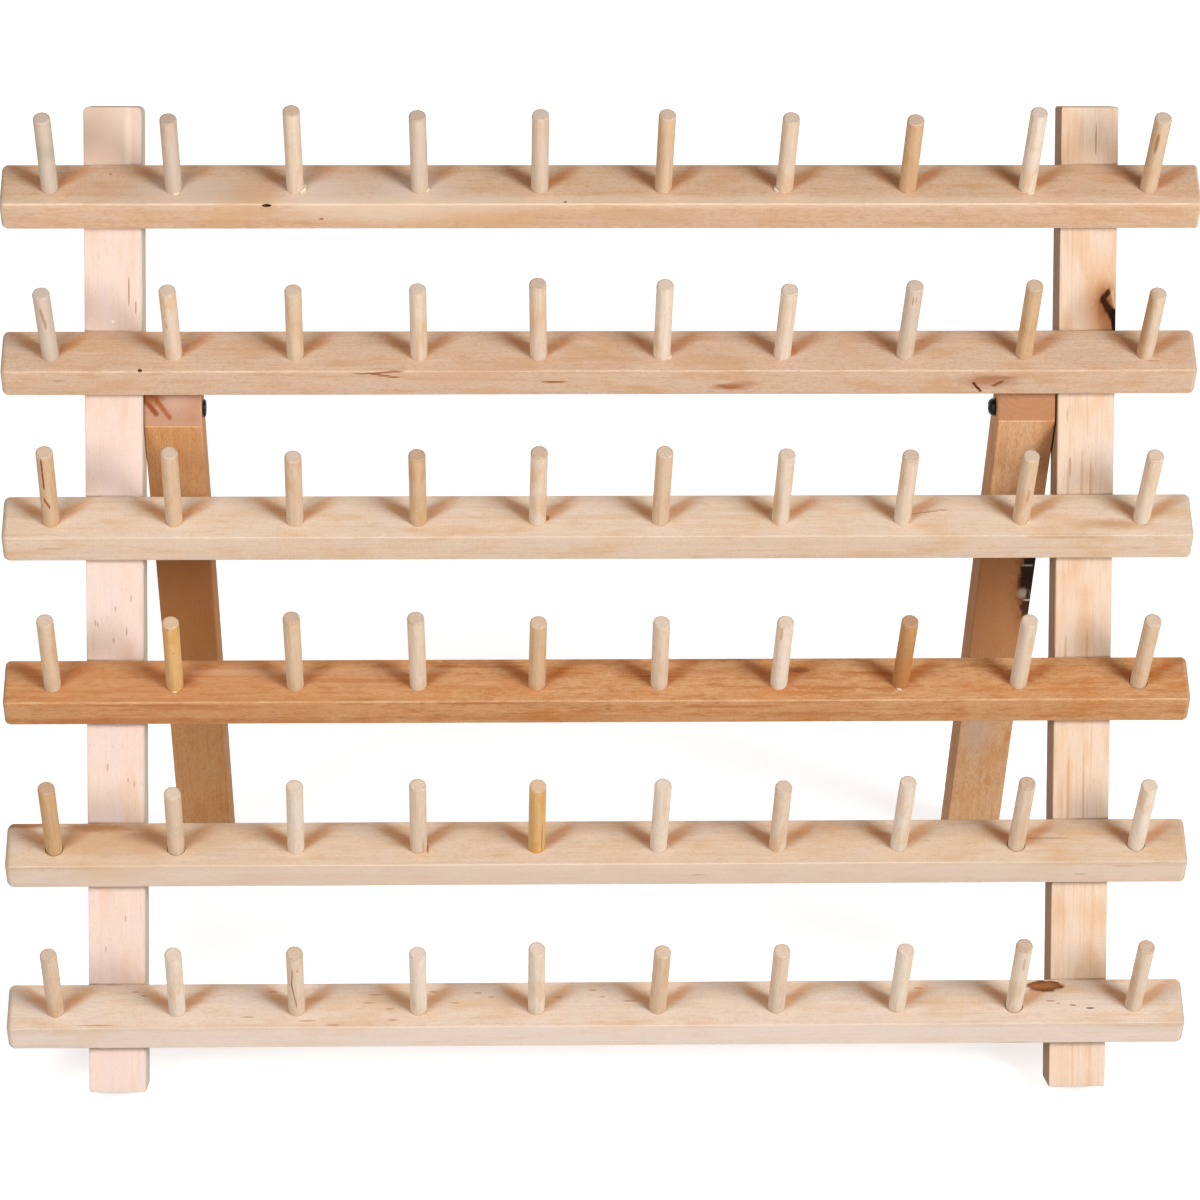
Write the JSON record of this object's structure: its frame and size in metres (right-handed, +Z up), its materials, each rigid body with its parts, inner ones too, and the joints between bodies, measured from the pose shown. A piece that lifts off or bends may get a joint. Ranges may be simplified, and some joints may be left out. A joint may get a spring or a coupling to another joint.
{
  "type": "thread rack",
  "caption": "Free-standing wooden thread rack: tilted rails with rows of dowel pegs on two notched posts, held up by two legs that fold.",
  "frame": {"origin": "on the surface it stands on, under the middle of its bounding box", "axes": "+X along the rails to the right as seen from the front, +Y to the back, +Z up; the pegs face -Y"},
  "size_m": [0.419, 0.2282, 0.3472],
  "materials": {
    "rail_wood": "bare, sanded",
    "post_wood": "bare, sanded",
    "leg_wood": "bare, sanded",
    "peg_wood": "bare, turned",
    "black_steel": "black, satin"
  },
  "bodies": {
    "frame": {"rail_1": "rail_wood", "rail_2": "rail_wood", "rail_3": "rail_wood", "rail_4": "rail_wood", "rail_5": "rail_wood", "rail_6": "rail_wood", "post_left": "post_wood", "post_right": "post_wood", "pivot_screw_left": "black_steel", "pivot_screw_right": "black_steel", "peg_1_01": "peg_wood", "peg_1_02": "peg_wood", "peg_1_03": "peg_wood", "peg_1_04": "peg_wood", "peg_1_05": "peg_wood", "peg_1_06": "peg_wood", "peg_1_07": "peg_wood", "peg_1_08": "peg_wood", "peg_1_09": "peg_wood", "peg_1_10": "peg_wood", "peg_2_01": "peg_wood", "peg_2_02": "peg_wood", "peg_2_03": "peg_wood", "peg_2_04": "peg_wood", "peg_2_05": "peg_wood", "peg_2_06": "peg_wood", "peg_2_07": "peg_wood", "peg_2_08": "peg_wood", "peg_2_09": "peg_wood", "peg_2_10": "peg_wood", "peg_3_01": "peg_wood", "peg_3_02": "peg_wood", "peg_3_03": "peg_wood", "peg_3_04": "peg_wood", "peg_3_05": "peg_wood", "peg_3_06": "peg_wood", "peg_3_07": "peg_wood", "peg_3_08": "peg_wood", "peg_3_09": "peg_wood", "peg_3_10": "peg_wood", "peg_4_01": "peg_wood", "peg_4_02": "peg_wood", "peg_4_03": "peg_wood", "peg_4_04": "peg_wood", "peg_4_05": "peg_wood", "peg_4_06": "peg_wood", "peg_4_07": "peg_wood", "peg_4_08": "peg_wood", "peg_4_09": "peg_wood", "peg_4_10": "peg_wood"},
    "left_leg": {"leg_left": "leg_wood"},
    "right_leg": {"leg_right": "leg_wood"}
  },
  "joints": [
    {"name": "left_leg_fold", "type": "hinge", "parent": "frame", "child": "left_leg", "pos_m": [-0.15095, -0.01144, 0.23438], "axis": [-1, 0, 0], "range_deg": [0, 31]},
    {"name": "right_leg_fold", "type": "hinge", "parent": "frame", "child": "right_leg", "pos_m": [0.15095, -0.01144, 0.23438], "axis": [-1, 0, 0], "range_deg": [0, 31]}
  ]
}
